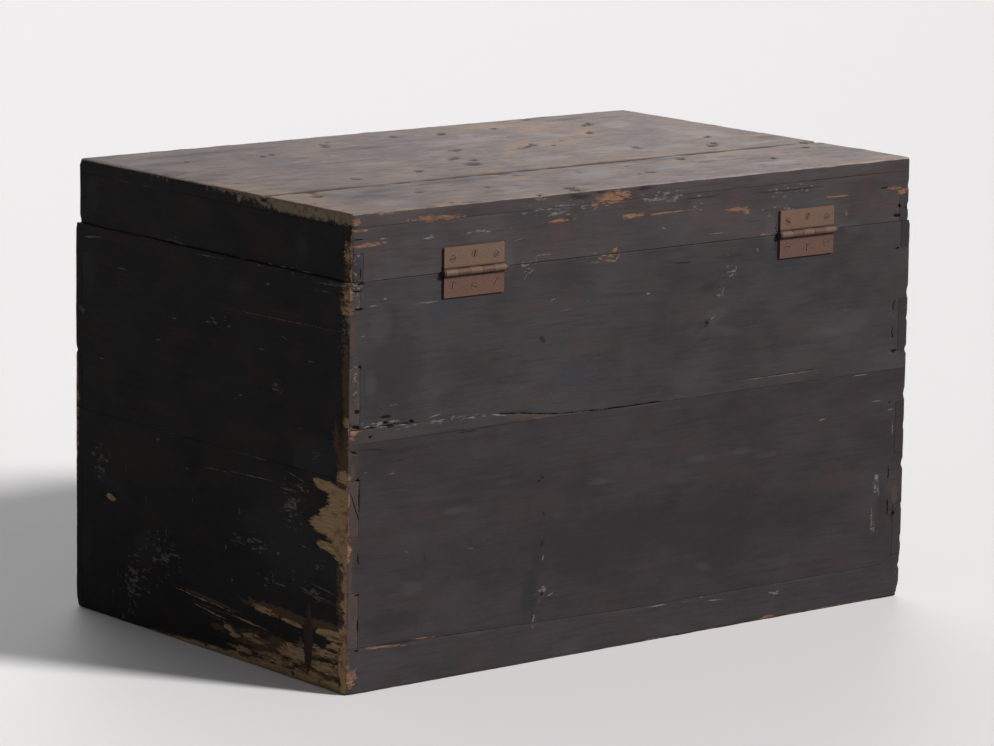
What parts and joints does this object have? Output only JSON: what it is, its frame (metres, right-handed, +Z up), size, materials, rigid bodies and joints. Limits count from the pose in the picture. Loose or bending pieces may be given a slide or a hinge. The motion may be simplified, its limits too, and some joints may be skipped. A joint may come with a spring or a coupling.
{
  "type": "storage chest",
  "caption": "Black-painted wooden storage chest: finger-jointed board walls on a bottom rail, and a boxed plank lid on two surface-mounted butt hinges.",
  "frame": {"origin": "middle of the underside, on the surface that the chest stands on", "axes": "+Z up; the front looks along -Y, the hinges are on the back at +Y; +X is to the right seen from the front, along the chest's length"},
  "size_m": [0.822, 0.5277, 0.525],
  "materials": {
    "black_paint": "old black paint over softwood, satin, worn through to tan wood at edges and corners",
    "weathered_planks": "weathered grey-brown planks, most of the dark paint rubbed off, dull",
    "bare_wood": "old unpainted softwood, dull",
    "rusty_steel": "brown rust all over, dull",
    "screw_steel": "dark rusty steel, slotted heads",
    "nail_iron": "dark iron, painted over and rusty"
  },
  "bodies": {
    "base": {"back_bottom_rail": "black_paint", "back_lower_board": "black_paint", "back_upper_board": "black_paint", "front_bottom_rail": "black_paint", "front_lower_board": "black_paint", "front_upper_board": "black_paint", "right_end_lower_board": "black_paint", "right_end_upper_board": "black_paint", "left_end_lower_board": "black_paint", "left_end_upper_board": "black_paint", "bottom_board_1": "bare_wood", "bottom_board_2": "bare_wood", "bottom_board_3": "bare_wood", "right_hinge_base_leaf": "rusty_steel", "right_hinge_pin": "rusty_steel", "right_hinge_base_screw_1": "screw_steel", "right_hinge_base_screw_2": "screw_steel", "right_hinge_base_screw_3": "screw_steel", "left_hinge_base_leaf": "rusty_steel", "left_hinge_pin": "rusty_steel", "left_hinge_base_screw_1": "screw_steel", "left_hinge_base_screw_2": "screw_steel", "left_hinge_base_screw_3": "screw_steel", "back_rail_nail_right": "nail_iron", "back_rail_nail_left": "nail_iron", "front_rail_nail_right": "nail_iron", "front_rail_nail_left": "nail_iron", "bottom_nail_right_1": "nail_iron", "bottom_nail_right_2": "nail_iron", "bottom_nail_right_3": "nail_iron", "bottom_nail_left_1": "nail_iron", "bottom_nail_left_2": "nail_iron", "bottom_nail_left_3": "nail_iron"},
    "lid": {"lid_back_plank": "weathered_planks", "lid_front_plank": "weathered_planks", "lid_back_skirt": "black_paint", "lid_front_skirt": "black_paint", "lid_right_skirt": "black_paint", "lid_left_skirt": "black_paint", "lid_batten_right": "bare_wood", "lid_batten_left": "bare_wood", "right_hinge_lid_leaf": "rusty_steel", "right_hinge_lid_screw_1": "screw_steel", "right_hinge_lid_screw_2": "screw_steel", "right_hinge_lid_screw_3": "screw_steel", "left_hinge_lid_leaf": "rusty_steel", "left_hinge_lid_screw_1": "screw_steel", "left_hinge_lid_screw_2": "screw_steel", "left_hinge_lid_screw_3": "screw_steel", "lid_plank_nail_1": "nail_iron", "lid_plank_nail_2": "nail_iron", "lid_plank_nail_3": "nail_iron", "lid_plank_nail_4": "nail_iron", "lid_plank_nail_5": "nail_iron", "lid_plank_nail_6": "nail_iron", "lid_plank_nail_7": "nail_iron", "lid_plank_nail_8": "nail_iron", "lid_plank_nail_9": "nail_iron", "lid_plank_nail_10": "nail_iron"}
  },
  "joints": [
    {"name": "lid_hinge", "type": "hinge", "parent": "base", "child": "lid", "pos_m": [0, 0.2639, 0.4506], "axis": [-1, 0, 0], "range_deg": [0, 180]}
  ]
}
